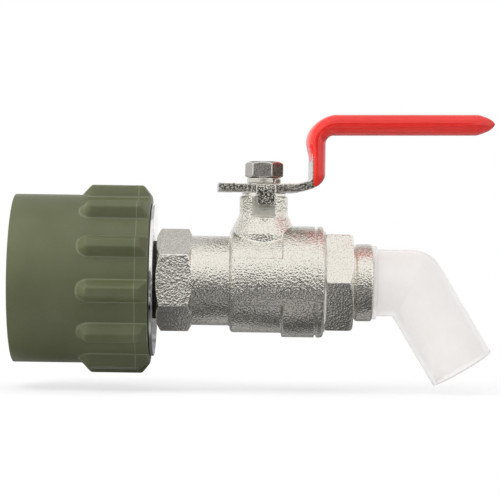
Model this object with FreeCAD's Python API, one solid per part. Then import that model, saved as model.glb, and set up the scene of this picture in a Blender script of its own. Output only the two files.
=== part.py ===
import FreeCAD, Part
import math
import os
from FreeCAD import Vector

# Honey gate valve: a plastic tank nut, a nickel-plated brass ball valve with a bent lever,
# and a plastic spout elbow that swivels in the outlet.
# Millimetres. Stations along the pipe (x) are counted from the nut's mouth, +X towards the
# outlet, +Z up. The finished pieces are moved so that the origin lies in the nut's thread.

# Fits and gaps
RUNNING_GAP = 0.3            # between faces that turn past each other
SHAFT_PLAY = 0.1             # radial play of stem, spigot and other turned fits
BALL_PLAY = 0.05             # between the ball and its seats
SEAL_PLAY = 0.05             # between a seal and the wall that it meets

# Coupling nut, for a coarse 60 mm tank thread
NUT_LENGTH = 55.3
NUT_RADIUS = 34.1
NUT_WALL = 6.6               # end wall that pulls on the tail piece
THREAD_CREST = 27.3
THREAD_ROOT = 30.25
THREAD_PITCH = 6.0
THREAD_LENGTH = 36.0
THREAD_LEAD_IN = 2.5
THREAD_TURNS_BEFORE = 0.6     # turns of the groove outside the mouth
THREAD_TURNS_AFTER = 0.25     # turns that run out into the relief
THREAD_OVERCUT = 0.5
THREAD_RELIEF = 0.15         # the runout groove's depth below the thread's root
THREAD_CREST_FLAT = 3.6
THREAD_ROOT_FLAT = 1.0
ORIGIN_IN_THREAD = 3.0       # from the mouth to the origin
RIB_COUNT = 12
RIB_RADIUS = 38.3
RIB_PHASE = -7.1             # degrees above the -Y side
RIB_START = 27.2
RIB_RAMP = 3.8
RIB_BASE_WIDTH = 9.8
RIB_CREST_WIDTH = 4.0
RIB_END_CHAMFER = 3.2

# Tail piece, its gasket, the cover disc and the black seal
GASKET_INNER = 19.0
GASKET_THICKNESS = 3.0
TAIL_COLLAR_THICKNESS = 4.2
TAIL_NECK_RADIUS = 21.8
PIPE_THREAD_RADIUS = 13.2    # 3/4 inch pipe thread, outside
TAIL_STUB_LENGTH = 14.8
DISC_RADIUS = 31.0
DISC_THICKNESS = 1.3
NECK_SEAL_RADIUS = 15.8
NECK_SEAL_THICKNESS = 0.9

# Valve body
INLET_HEX_FLATS = 36.0
INLET_HEX_LENGTH = 14.3
HEX_CHAMFER = 1.6
NECK_RADIUS = 18.2
NECK_LENGTH = 15.3
BODY_RADIUS = 20.9
BODY_LENGTH = 21.0
SHOULDER_ROUND = 1.6
RIGHT_RADIUS = 22.6
RIGHT_LENGTH = 16.8
RIM_GROOVE_WIDTH = 0.9
RIM_GROOVE_DEPTH = 0.9
RIM_BEAD_WIDTH = 2.7
PAD_HALF_HEIGHT = 9.4
PAD_MARGIN = 1.8
BORE_RADIUS = 10.2
CAVITY_RADIUS = 15.7
CONNECTOR_THREAD_RADIUS = 17.5

# Ball and seats
BALL_FROM_SHOULDER = 13.2    # ball centre, from the body's left shoulder
BALL_RADIUS = 15.0
BALL_BORE = 10.0
SEAT_OUTER = 14.6
SEAT_NEAR = 8.3              # from the ball's centre to the seat's open end
SEAT_FAR = 13.2              # from the ball's centre to the seat's back

# Stem and stem tower
TOWER_RADIUS = 9.85
TOWER_TOP = 34.4
TOWER_FLARE_TOP = 27.0
TOWER_FLARE_ANGLE = 27.0
TOWER_FLARE_ROUND = 6.0
TOWER_FOOT_RADIUS = 13.8      # where the flare ends in a short round foot
TOWER_FOOT_ROUND = 1.5
TOWER_FLAT = 8.7             # from the stem axis to the milled front flat
TOWER_FLAT_BOTTOM = 26.0
STEM_RADIUS = 5.0
STEM_COLLAR_RADIUS = 6.5
STEM_COLLAR_BOTTOM = 15.9
STEM_COLLAR_TOP = 17.6
STEM_WASHER_THICKNESS = 0.8
TANG_THICKNESS = 4.6
TANG_LENGTH = 11.0
TANG_BOTTOM = 11.7
PACKING_BOTTOM = 23.0
PACKING_RADIUS = 7.5
PACKING_RINGS = 3
PACKING_RING_HEIGHT = 1.8
GLAND_RADIUS = 8.9
GLAND_FLANGE = 1.4
STEM_SHOULDER = 36.1
STEM_FLATS = 8.2             # across the two flats, wider than the thread
STEM_THREAD_RADIUS = 4.0     # M8
STEM_TOP = 48.7
O_RING_STATION = 20.4
STEM_O_RING_WIRE = 0.75

# Lever: plate, front tab, tail and arm, in the lever's own frame with +X along the arm
LEVER_REST_TURN = 3.5        # degrees past the pipe line at the open stop
LEVER_THICKNESS = 3.5
HUB_RADIUS = 8.2
TAIL_END = 18.8
TAIL_HEAD_LENGTH = 6.4
TAIL_HEAD_WIDTH = 16.0
TAIL_NECK_WIDTH = 9.0
ARM_ROOT = 7.5
ARM_ROOT_WIDTH = 20.0
ARM_WIDTH = 17.0
ARM_TAPER_END = 12.5
ARM_KNEE = 13.0
ARM_CORNER = 20.5
ARM_CORNER_RISE = 2.0
ARM_TOP = 63.9
ARM_END = 88.5
ARM_END_RISE = 1.2
KNEE_ROUND = 16.0
LOWER_BEND = 3.4
UPPER_BEND = 8.0
TAB_WIDTH = 8.0
TAB_TIP_WIDTH = 6.8
TAB_INNER = 10.3
TAB_THICKNESS = 3.2
TAB_BOTTOM = 30.6
TAB_RELIEF = 1.3
TAB_TAPER_LENGTH = 4.0

# Stop lug behind the stem tower
LUG_WIDTH = 2.4
LUG_INNER = 8.0
LUG_OUTER = 11.2
LUG_BOTTOM = 19.0
LUG_TOP = 39.3

# Vinyl grip
GRIP_THICKNESS = 8.4
GRIP_WIDTH = 20.6
GRIP_PLAY = 0.05
GRIP_FOOT = 43.6
GRIP_TOE = 38.6
GRIP_TOE_THICKNESS = 1.8
GRIP_TIP_START = 87.0
GRIP_TIP_END = 93.1
GRIP_TIP_THICKNESS = 3.6
GRIP_TIP_WIDTH = 16.0

# Lever nut and spring washer
LEVER_NUT_FLATS = 13.5
LEVER_NUT_HEIGHT = 6.8
LEVER_NUT_TURN = -7.0
LEVER_NUT_CHAMFER = 0.9
SPRING_WASHER_OUTER = 6.9
SPRING_WASHER_INNER = 4.2
SPRING_WASHER_HEIGHT = 2.2
SPRING_WASHER_GAP = 0.8

# End connector and its seal
CONNECTOR_SEAL_THICKNESS = 0.6
CONNECTOR_SEAL_RADIUS = 20.5
OUTLET_HEX_STEP = 0.3        # its corners lie this far inside the body's right section
OUTLET_HEX_LENGTH = 11.3
OUTLET_NECK_RADIUS = 14.8
OUTLET_NECK_LENGTH = 0.8
COLLAR_RADIUS = 15.7
COLLAR_LENGTH = 7.1
COLLAR_ROUND = 1.1

# Spout elbow
SPIGOT_RADIUS = 12.1
SPIGOT_BORE = 9.4
SPIGOT_LENGTH = 17.5
SPOUT_FLANGE_RADIUS = 14.9
SPOUT_FLANGE_THICKNESS = 1.6
SPOUT_RADIUS = 13.6
SPOUT_WALL = 2.0
SPOUT_BEND_FROM_FLANGE = 14.5
SPOUT_ANGLE = 58.7
SPOUT_LEG = 40.4
SPOUT_O_RING_WIRE = 0.9
SPOUT_O_RING_FIRST = 4.5     # from the spigot's end
SPOUT_O_RING_SPACING = 4.5
CLIP_WIRE = 0.7
CLIP_FROM_FLANGE = 4.0
CLIP_RADIUS = 12.3
CLIP_OPENING = 30.0          # degrees

# Stations along the pipe
DISC_X = NUT_LENGTH + RUNNING_GAP
NECK_SEAL_X = DISC_X + DISC_THICKNESS
INLET_X = NECK_SEAL_X + NECK_SEAL_THICKNESS
NECK_X = INLET_X + INLET_HEX_LENGTH
SHOULDER_X = NECK_X + NECK_LENGTH
RIGHT_X = SHOULDER_X + BODY_LENGTH
BODY_END_X = RIGHT_X + RIGHT_LENGTH
BALL_X = SHOULDER_X + BALL_FROM_SHOULDER
OUTLET_HEX_X = BODY_END_X + CONNECTOR_SEAL_THICKNESS
OUTLET_HEX_FLATS = (RIGHT_RADIUS - OUTLET_HEX_STEP) * math.sqrt(3)
COLLAR_X = OUTLET_HEX_X + OUTLET_HEX_LENGTH + OUTLET_NECK_LENGTH
COLLAR_END_X = COLLAR_X + COLLAR_LENGTH
SPOUT_X = COLLAR_END_X + SHAFT_PLAY
BEND_X = SPOUT_X + SPOUT_BEND_FROM_FLANGE + SPOUT_FLANGE_THICKNESS
SPIGOT_END_X = SPOUT_X - SPIGOT_LENGTH
SPOUT_O_RINGS_X = (SPIGOT_END_X + SPOUT_O_RING_FIRST,
                   SPIGOT_END_X + SPOUT_O_RING_FIRST + SPOUT_O_RING_SPACING)
NUT_WALL_X = NUT_LENGTH - NUT_WALL
TAIL_COLLAR_X = NUT_WALL_X - RUNNING_GAP - TAIL_COLLAR_THICKNESS
GASKET_X = TAIL_COLLAR_X - GASKET_THICKNESS
LEVER_TOP = STEM_SHOULDER + LEVER_THICKNESS
LEVER_NUT_BOTTOM = LEVER_TOP + SPRING_WASHER_HEIGHT

X_AXIS = Vector(1, 0, 0)
Z_AXIS = Vector(0, 0, 1)


def on_pipe(x, r):
    """A point of a profile that turns about the pipe axis."""
    return Vector(x, 0, r)


def on_stem(r, z):
    """A point of a profile that turns about the stem axis."""
    return Vector(BALL_X + r, 0, z)


def corner_legs(corners, i, closed):
    """Where the rounding of corner i starts, its middle, and where it ends."""
    here = Vector(corners[i][0], corners[i][1], 0)
    radius = corners[i][2] if len(corners[i]) > 2 else 0
    inner = closed or 0 < i < len(corners) - 1
    if not radius or not inner:
        return here, None, here
    after = corners[(i + 1) % len(corners)]
    back = Vector(corners[i - 1][0], corners[i - 1][1], 0) - here
    ahead = Vector(after[0], after[1], 0) - here
    back.normalize()
    ahead.normalize()
    half = back.getAngle(ahead) / 2
    reach = radius / math.tan(half)
    middle = here + (back + ahead).normalize() * (radius / math.sin(half) - radius)
    return here + back * reach, middle, here + ahead * reach


def rounded_wire(corners, place, closed=True):
    """A wire through corners (u, v) or (u, v, radius), laid out in space by place(u, v)."""
    legs = [corner_legs(corners, i, closed) for i in range(len(corners))]
    edges = []
    for i, (start, middle, end) in enumerate(legs):
        if middle:
            arc = Part.Arc(place(start.x, start.y), place(middle.x, middle.y), place(end.x, end.y))
            edges.append(arc.toShape())
        if i == len(legs) - 1 and not closed:
            break
        next_start = legs[(i + 1) % len(legs)][0]
        if (next_start - end).Length > 1e-6:
            line = Part.LineSegment(place(end.x, end.y), place(next_start.x, next_start.y))
            edges.append(line.toShape())
    return Part.Wire(edges)


def turned(corners):
    """A solid turned about the pipe axis from (x, radius) corners."""
    face = Part.Face(rounded_wire(corners, on_pipe))
    return face.revolve(Vector(0, 0, 0), X_AXIS, 360)


def turned_on_stem(corners):
    """A solid turned about the stem axis from (radius, z) corners."""
    face = Part.Face(rounded_wire(corners, on_stem))
    return face.revolve(Vector(BALL_X, 0, 0), Z_AXIS, 360)


def rod(radius, start, end):
    """A cylinder on the pipe axis."""
    return Part.makeCylinder(radius, end - start, Vector(start, 0, 0), X_AXIS)


def ring(outer, inner, start, end):
    """A plain ring on the pipe axis."""
    return rod(outer, start, end).cut(rod(inner, start, end))


def post(radius, bottom, top):
    """A cylinder on the stem axis."""
    return Part.makeCylinder(radius, top - bottom, Vector(BALL_X, 0, bottom), Z_AXIS)


def washer(outer, inner, bottom, top):
    """A plain ring on the stem axis."""
    return post(outer, bottom, top).cut(post(inner, bottom, top))


def block(x0, x1, y0, y1, z0, z1):
    """A box between two corners."""
    return Part.makeBox(x1 - x0, y1 - y0, z1 - z0, Vector(x0, y0, z0))


def hexagon(flats, corner_at_top, place):
    """A closed hexagon wire of the given width across flats."""
    radius = flats / math.sqrt(3)
    first = 90 if corner_at_top else 60
    points = []
    for k in range(7):
        angle = math.radians(first + 60 * k)
        points.append(place(radius * math.cos(angle), radius * math.sin(angle)))
    return Part.makePolygon(points)


def pipe_hexagon(flats, start, end, corner_at_top, left_chamfer, right_chamfer):
    """A hexagonal bar on the pipe axis, its corners turned down at 30 degrees."""
    wire = hexagon(flats, corner_at_top, lambda y, z: Vector(start, y, z))
    bar = Part.Face(wire).extrude(Vector(end - start, 0, 0))
    corner = flats / math.sqrt(3)
    slope = math.tan(math.radians(60))
    envelope = turned([
        (start, 0),
        (start, corner - left_chamfer * slope),
        (start + left_chamfer, corner + 0.01),
        (end - right_chamfer, corner + 0.01),
        (end, corner - right_chamfer * slope),
        (end, 0),
    ])
    return bar.common(envelope)


def lever_turned(shape):
    """Turns a shape from the lever's own frame to its rest position."""
    shape.rotate(Vector(BALL_X, 0, 0), Z_AXIS, LEVER_REST_TURN)
    return shape


def lever_point(u, w):
    """A point in the lever's middle plane: u along the arm from the stem axis, w up."""
    return Vector(BALL_X + u, 0, w)


def rib():
    """One grip rib of the coupling nut, standing on top, with a ramp at its mouth end."""
    end = NUT_LENGTH + 1
    bottom = NUT_RADIUS - 1.5
    top = RIB_RADIUS + 1.0
    spread = (top - bottom) / (RIB_RADIUS - NUT_RADIUS)
    base = RIB_BASE_WIDTH / 2
    crest = base - (base - RIB_CREST_WIDTH / 2) * spread
    ramp = RIB_RAMP * spread

    def outline(start, half, height):
        corners = [(start, -half, half * 0.9), (end, -half), (end, half), (start, half, half * 0.9)]
        return rounded_wire(corners, lambda x, y: Vector(x, y, height))

    wires = [outline(RIB_START, base, bottom), outline(RIB_START + ramp, crest, top)]
    return Part.makeLoft(wires, True, True)


def nut_thread():
    """The groove of the coarse thread: a trapezoid carried along a helix about the pipe axis."""
    turns = THREAD_LENGTH / THREAD_PITCH + THREAD_TURNS_BEFORE + THREAD_TURNS_AFTER
    helix = Part.makeHelix(THREAD_PITCH, THREAD_PITCH * turns, THREAD_ROOT)
    helix.rotate(Vector(0, 0, 0), Vector(0, 1, 0), 90)
    helix.translate(Vector(-THREAD_TURNS_BEFORE * THREAD_PITCH, 0, 0))
    start = helix.Edges[0].valueAt(helix.Edges[0].FirstParameter)
    outward = Vector(0, start.y, start.z).normalize()
    mouth = (THREAD_PITCH - THREAD_CREST_FLAT) / 2
    slope = (mouth - THREAD_ROOT_FLAT / 2) / (THREAD_ROOT - THREAD_CREST)
    wide = mouth + THREAD_OVERCUT * slope
    section = []
    inner = THREAD_CREST - THREAD_OVERCUT
    root = THREAD_ROOT_FLAT / 2
    corners = ((-wide, inner), (-root, THREAD_ROOT), (root, THREAD_ROOT), (wide, inner))
    for half, radius in corners:
        section.append(Vector(start.x + half, outward.y * radius, outward.z * radius))
    section.append(section[0])
    sweep = Part.BRepOffsetAPI.MakePipeShell(Part.Wire(helix.Edges))
    sweep.setFrenetMode(True)
    sweep.add(Part.makePolygon(section))
    sweep.build()
    sweep.makeSolid()
    return sweep.shape()


def coupling_nut():
    """The plastic nut: a collar with ribs outside and a coarse thread inside."""
    envelope = turned([
        (0, 0),
        (0, RIB_RADIUS),
        (NUT_LENGTH - RIB_END_CHAMFER, RIB_RADIUS, 1.2),
        (NUT_LENGTH, NUT_RADIUS, 0),
        (NUT_LENGTH, 0),
    ])
    one_rib = rib().common(envelope)
    ribs = []
    for k in range(RIB_COUNT):
        turned_rib = one_rib.copy()
        turned_rib.rotate(Vector(0, 0, 0), X_AXIS, 90 - RIB_PHASE + 360 / RIB_COUNT * k)
        ribs.append(turned_rib)
    body = turned([
        (0, 0),
        (0, NUT_RADIUS, 0.4),
        (NUT_LENGTH, NUT_RADIUS, 0.5),
        (NUT_LENGTH, 0),
    ])
    body = body.multiFuse(ribs).removeSplitter()
    relief = THREAD_ROOT + THREAD_RELIEF
    hollow = turned([
        (-1, 0),
        (-1, THREAD_ROOT + 0.4),
        (0, THREAD_ROOT + 0.4),
        (THREAD_LEAD_IN, THREAD_CREST),
        (THREAD_LENGTH, THREAD_CREST),
        (THREAD_LENGTH, relief),
        (NUT_WALL_X, relief, 0.8),
        (NUT_WALL_X, TAIL_NECK_RADIUS + RUNNING_GAP),
        (NUT_LENGTH + 1, TAIL_NECK_RADIUS + RUNNING_GAP),
        (NUT_LENGTH + 1, 0),
    ])
    return body.cut(hollow).cut(nut_thread())


def tank_gasket():
    """The flat ring that seals against the end of the tank's outlet."""
    return ring(THREAD_CREST - RUNNING_GAP, GASKET_INNER, GASKET_X, TAIL_COLLAR_X)


def tail_piece():
    """The flanged connector that the nut turns on, with a pipe thread for the valve."""
    end = INLET_X + TAIL_STUB_LENGTH - DISC_THICKNESS
    solid = turned([
        (TAIL_COLLAR_X, BORE_RADIUS, 1.0),
        (TAIL_COLLAR_X, THREAD_CREST - RUNNING_GAP, 0.4),
        (TAIL_COLLAR_X + TAIL_COLLAR_THICKNESS, THREAD_CREST - RUNNING_GAP, 0.4),
        (TAIL_COLLAR_X + TAIL_COLLAR_THICKNESS, TAIL_NECK_RADIUS),
        (DISC_X, TAIL_NECK_RADIUS),
        (DISC_X, PIPE_THREAD_RADIUS),
        (end - 1, PIPE_THREAD_RADIUS),
        (end, PIPE_THREAD_RADIUS - 1),
        (end, BORE_RADIUS),
    ])
    return solid


def cover_disc():
    """The plated disc that closes the gap behind the nut."""
    return turned([
        (DISC_X, PIPE_THREAD_RADIUS + SHAFT_PLAY),
        (DISC_X, DISC_RADIUS),
        (NECK_SEAL_X, DISC_RADIUS, 0.3),
        (NECK_SEAL_X, PIPE_THREAD_RADIUS + SHAFT_PLAY),
    ])


def neck_seal():
    """The black ring between the cover disc and the valve body."""
    return ring(NECK_SEAL_RADIUS, PIPE_THREAD_RADIUS + SHAFT_PLAY, NECK_SEAL_X, INLET_X)


def body_outside():
    """The valve body's turned and hexagonal outside, still solid."""
    bead = BODY_END_X - RIM_BEAD_WIDTH
    groove = RIGHT_RADIUS - RIM_GROOVE_DEPTH
    barrel = turned([
        (NECK_X - 1, 0),
        (NECK_X - 1, NECK_RADIUS),
        (SHOULDER_X, NECK_RADIUS, 0.8),
        (SHOULDER_X, BODY_RADIUS, SHOULDER_ROUND),
        (RIGHT_X, BODY_RADIUS, 0.7),
        (RIGHT_X, RIGHT_RADIUS, 0.7),
        (bead - RIM_GROOVE_WIDTH, RIGHT_RADIUS, 0.3),
        (bead - RIM_GROOVE_WIDTH, groove),
        (bead, groove),
        (bead, RIGHT_RADIUS, 0.3),
        (BODY_END_X, RIGHT_RADIUS, 1.2),
        (BODY_END_X, 0),
    ])
    inlet = pipe_hexagon(INLET_HEX_FLATS, INLET_X, NECK_X, True, HEX_CHAMFER, HEX_CHAMFER)
    pad_left = SHOULDER_X + PAD_MARGIN
    pad_ring = rod(RIGHT_RADIUS, pad_left, RIGHT_X + 1)
    side = RIGHT_RADIUS + 1
    pad_zone = block(pad_left, RIGHT_X + 1, -side, side, -PAD_HALF_HEIGHT, PAD_HALF_HEIGHT)
    return barrel.fuse([inlet, pad_ring.common(pad_zone)])


def stem_tower():
    """The round tower for the stem, flaring down to a round foot in the barrel's wall."""
    slope = math.tan(math.radians(TOWER_FLARE_ANGLE))
    flare_bottom = TOWER_FLARE_TOP - (TOWER_FOOT_RADIUS - TOWER_RADIUS) / slope
    in_wall = math.sqrt(BODY_RADIUS ** 2 - TOWER_FOOT_RADIUS ** 2) - 1
    tower = turned_on_stem([
        (0, in_wall),
        (TOWER_FOOT_RADIUS, in_wall),
        (TOWER_FOOT_RADIUS, flare_bottom, TOWER_FOOT_ROUND),
        (TOWER_RADIUS, TOWER_FLARE_TOP, TOWER_FLARE_ROUND),
        (TOWER_RADIUS, TOWER_TOP, 0.6),
        (0, TOWER_TOP),
    ])
    reach = 2 * TOWER_RADIUS
    flat = block(BALL_X - TOWER_RADIUS, BALL_X + TOWER_RADIUS, -reach, -TOWER_FLAT,
                 TOWER_FLAT_BOTTOM, TOWER_TOP + 1)
    return tower.cut(flat)


def stop_lug():
    """The lug behind the tower that the lever meets at both ends of its travel."""
    right = BALL_X + ARM_ROOT - RUNNING_GAP
    left = right - LUG_WIDTH
    foot = block(left, right, LUG_INNER - 1.4, LUG_OUTER, LUG_BOTTOM, TOWER_TOP)
    head = block(left, right, LUG_INNER, LUG_OUTER, TOWER_TOP, LUG_TOP)
    return lever_turned(foot.fuse(head).removeSplitter())


def body_hollows():
    """Everything that is bored out of the valve body, from the inlet to the outlet."""
    stub_end = INLET_X + TAIL_STUB_LENGTH
    thread = PIPE_THREAD_RADIUS + SHAFT_PLAY
    pocket = SEAT_OUTER + SEAL_PLAY
    outlet = CONNECTOR_THREAD_RADIUS + SHAFT_PLAY
    pipe = turned([
        (INLET_X - 1, 0),
        (INLET_X - 1, thread + 1),
        (INLET_X, thread + 1),
        (INLET_X + 1, thread),
        (stub_end, thread),
        (stub_end, BORE_RADIUS),
        (BALL_X - SEAT_FAR, BORE_RADIUS),
        (BALL_X - SEAT_FAR, pocket),
        (BALL_X - SEAT_NEAR - 0.8, pocket),
        (BALL_X - SEAT_NEAR - 0.8, CAVITY_RADIUS),
        (BALL_X + SEAT_NEAR + 0.8, CAVITY_RADIUS),
        (BALL_X + SEAT_NEAR + 0.8, outlet),
        (BODY_END_X + 1, outlet),
        (BODY_END_X + 1, 0),
    ])
    collar_room = STEM_COLLAR_TOP + STEM_WASHER_THICKNESS
    stem_way = turned_on_stem([
        (0, 0),
        (STEM_COLLAR_RADIUS + SHAFT_PLAY, 0),
        (STEM_COLLAR_RADIUS + SHAFT_PLAY, collar_room),
        (STEM_RADIUS + SHAFT_PLAY, collar_room),
        (STEM_RADIUS + SHAFT_PLAY, PACKING_BOTTOM),
        (PACKING_RADIUS + SHAFT_PLAY, PACKING_BOTTOM),
        (PACKING_RADIUS + SHAFT_PLAY, TOWER_TOP + 1),
        (0, TOWER_TOP + 1),
    ])
    return pipe.fuse(stem_way)


def valve_body():
    """The cast body with its hexagon, barrel, stem tower and stop lug."""
    solid = body_outside().fuse([stem_tower(), stop_lug()]).removeSplitter()
    return solid.cut(body_hollows())


def seat(side):
    """A seat ring; side is -1 for the inlet's and 1 for the outlet's."""
    near = BALL_X + side * SEAT_NEAR
    far = BALL_X + side * SEAT_FAR
    solid = ring(SEAT_OUTER, BORE_RADIUS, min(near, far), max(near, far))
    return solid.cut(Part.makeSphere(BALL_RADIUS + BALL_PLAY, Vector(BALL_X, 0, 0)))


def ball():
    """The ball, with its bore along the pipe and the stem's slot across its top."""
    sphere = Part.makeSphere(BALL_RADIUS, Vector(BALL_X, 0, 0))
    reach = BALL_RADIUS + 1
    half_slot = TANG_THICKNESS / 2 + SHAFT_PLAY
    slot = block(BALL_X - half_slot, BALL_X + half_slot, -reach, reach,
                 TANG_BOTTOM - RUNNING_GAP, reach)
    solid = sphere.cut(rod(BALL_BORE, BALL_X - reach, BALL_X + reach)).cut(slot)
    return solid


def stem():
    """The stem: tang, collar, shaft with an O-ring groove, two flats and a thread on top."""
    flats_end = LEVER_TOP - 0.4
    groove = STEM_RADIUS + SHAFT_PLAY - SEAL_PLAY - 2 * STEM_O_RING_WIRE
    half_groove = STEM_O_RING_WIRE + SHAFT_PLAY
    solid = turned_on_stem([
        (0, STEM_COLLAR_BOTTOM),
        (STEM_COLLAR_RADIUS, STEM_COLLAR_BOTTOM, 0.3),
        (STEM_COLLAR_RADIUS, STEM_COLLAR_TOP),
        (STEM_RADIUS, STEM_COLLAR_TOP),
        (STEM_RADIUS, O_RING_STATION - half_groove),
        (groove, O_RING_STATION - half_groove),
        (groove, O_RING_STATION + half_groove),
        (STEM_RADIUS, O_RING_STATION + half_groove),
        (STEM_RADIUS, flats_end),
        (STEM_THREAD_RADIUS, flats_end),
        (STEM_THREAD_RADIUS, STEM_TOP - 0.8),
        (STEM_THREAD_RADIUS - 0.8, STEM_TOP),
        (0, STEM_TOP),
    ])
    half_tang = TANG_THICKNESS / 2
    tang = block(BALL_X - half_tang, BALL_X + half_tang, -TANG_LENGTH / 2, TANG_LENGTH / 2,
                 TANG_BOTTOM, STEM_COLLAR_BOTTOM + 0.5)
    reach = STEM_RADIUS + 1
    flats = []
    for side in (-1, 1):
        low = min(side * STEM_FLATS / 2, side * reach)
        cutter = block(BALL_X - reach, BALL_X + reach, low, low + reach - STEM_FLATS / 2,
                       STEM_SHOULDER, flats_end)
        flats.append(lever_turned(cutter))
    return solid.fuse(tang).removeSplitter().cut(flats)


def stem_thrust_washer():
    """The slippery washer between the stem's collar and the body."""
    return washer(STEM_COLLAR_RADIUS, STEM_RADIUS + SHAFT_PLAY, STEM_COLLAR_TOP,
                  STEM_COLLAR_TOP + STEM_WASHER_THICKNESS)


def stem_o_ring():
    """The O-ring in the stem's groove."""
    outer = STEM_RADIUS + SHAFT_PLAY - SEAL_PLAY
    return Part.makeTorus(outer - STEM_O_RING_WIRE, STEM_O_RING_WIRE,
                          Vector(BALL_X, 0, O_RING_STATION), Z_AXIS)


def stem_packing():
    """The packing rings under the gland."""
    rings = []
    for k in range(PACKING_RINGS):
        low = PACKING_BOTTOM + k * PACKING_RING_HEIGHT
        rings.append(washer(PACKING_RADIUS, STEM_RADIUS + SHAFT_PLAY, low,
                            low + PACKING_RING_HEIGHT - SEAL_PLAY))
    return Part.makeCompound(rings)


def packing_gland():
    """The flanged bush that presses the packing down."""
    low = PACKING_BOTTOM + PACKING_RINGS * PACKING_RING_HEIGHT
    return turned_on_stem([
        (STEM_RADIUS + SHAFT_PLAY, low),
        (PACKING_RADIUS, low),
        (PACKING_RADIUS, TOWER_TOP),
        (GLAND_RADIUS, TOWER_TOP),
        (GLAND_RADIUS, TOWER_TOP + GLAND_FLANGE, 0.3),
        (STEM_RADIUS + SHAFT_PLAY, TOWER_TOP + GLAND_FLANGE),
    ])


def plate(corners):
    """A flat part of the lever from plan corners, in the lever's own frame."""
    wire = rounded_wire(corners, lambda x, y: Vector(BALL_X + x, y, STEM_SHOULDER))
    return Part.Face(wire).extrude(Vector(0, 0, LEVER_THICKNESS))


def swept_along_arm(points, thickness, width, rounded):
    """A bar carried along the arm's line; its section is a rectangle, or has round sides."""
    path = rounded_wire(points, lever_point, closed=False)
    start = path.Edges[0].valueAt(path.Edges[0].FirstParameter)
    along = path.Edges[0].tangentAt(path.Edges[0].FirstParameter)
    across = along.cross(Vector(0, 1, 0)).normalize()
    radius = thickness / 2 if rounded else 0
    wire = arm_section(start, across, thickness, width, radius)
    sweep = Part.BRepOffsetAPI.MakePipeShell(path)
    sweep.setBiNormalMode(Vector(0, 1, 0))
    sweep.add(wire)
    sweep.build()
    sweep.makeSolid()
    return sweep.shape()


def arm_section(centre, across, thickness, width, radius):
    """A section of the arm at centre: thickness along across, width along Y."""
    t = thickness / 2
    w = width / 2
    r = min(radius, t) * 0.98
    corners = [(-t, -w, r), (t, -w, r), (t, w, r), (-t, w, r)]
    return rounded_wire(corners, lambda a, b: centre + across * a + Vector(0, 1, 0) * b)


def arm_line(first, last):
    """The arm's centre line between two of its points, with the bends' radii."""
    middle = STEM_SHOULDER + LEVER_THICKNESS / 2
    line = [
        (ARM_TAPER_END - 2, middle),
        (ARM_KNEE, middle, KNEE_ROUND),
        (ARM_CORNER, middle + ARM_CORNER_RISE, LOWER_BEND),
        (ARM_CORNER, ARM_TOP, UPPER_BEND),
        (ARM_END, ARM_TOP + ARM_END_RISE),
    ]
    return line[first:last]


def lever_blank(grow=0.0):
    """The lever plate with its bent arm, grown on all sides for the grip's hollow."""
    head = TAIL_END - TAIL_HEAD_LENGTH
    half_head = TAIL_HEAD_WIDTH / 2
    half_neck = TAIL_NECK_WIDTH / 2
    half_root = ARM_ROOT_WIDTH / 2
    half_arm = ARM_WIDTH / 2
    tail = plate([
        (-TAIL_END, -half_head, 1.2),
        (-head, -half_head, 1.2),
        (-head, -half_neck, 1.0),
        (0, -half_neck),
        (0, half_neck),
        (-head, half_neck, 1.0),
        (-head, half_head, 1.2),
        (-TAIL_END, half_head, 1.2),
    ])
    bridge = HUB_RADIUS * 0.8
    root = plate([
        (0, -bridge),
        (ARM_ROOT, -bridge),
        (ARM_ROOT, -half_root, 1.0),
        (ARM_TAPER_END, -half_arm),
        (ARM_TAPER_END, half_arm),
        (ARM_ROOT, half_root, 1.0),
        (ARM_ROOT, bridge),
        (0, bridge),
    ])
    hub = post(HUB_RADIUS, STEM_SHOULDER, LEVER_TOP)
    arm = swept_along_arm(arm_line(0, 5), LEVER_THICKNESS + 2 * grow, ARM_WIDTH + 2 * grow, False)
    return tail.fuse([root, hub, arm]).removeSplitter()


def front_tab():
    """The tab that hangs from the hub in front of the tower's flat."""
    half = TAB_WIDTH / 2
    tip = TAB_TIP_WIDTH / 2
    outer = TAB_INNER + TAB_THICKNESS
    side = [
        (-HUB_RADIUS + 2, STEM_SHOULDER),
        (-TAB_INNER, STEM_SHOULDER, 0.4),
        (-TAB_INNER, TAB_BOTTOM),
        (-outer, TAB_BOTTOM),
        (-outer, LEVER_TOP, 2.4),
        (-HUB_RADIUS + 2, LEVER_TOP),
    ]
    wire = rounded_wire(side, lambda y, z: Vector(BALL_X - half, y, z))
    strip = Part.Face(wire).extrude(Vector(TAB_WIDTH, 0, 0))
    taper = TAB_BOTTOM + TAB_TAPER_LENGTH
    front = [(-half, LEVER_TOP + 1), (-half, taper), (-tip, TAB_BOTTOM, 0.6),
             (tip, TAB_BOTTOM, 0.6), (half, taper), (half, LEVER_TOP + 1)]
    mask = Part.Face(rounded_wire(front, lambda x, z: Vector(BALL_X + x, -outer - 1, z)))
    return strip.common(mask.extrude(Vector(0, outer + 2, 0)))


def stem_hole():
    """The double-D hole that the stem's flats fill, with a little play."""
    radius = STEM_RADIUS + SHAFT_PLAY
    half = STEM_FLATS / 2 + SHAFT_PLAY
    hole = post(radius, STEM_SHOULDER - 1, LEVER_TOP + 1)
    return hole.common(block(BALL_X - radius, BALL_X + radius, -half, half,
                             STEM_SHOULDER - 1, LEVER_TOP + 1))


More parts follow.
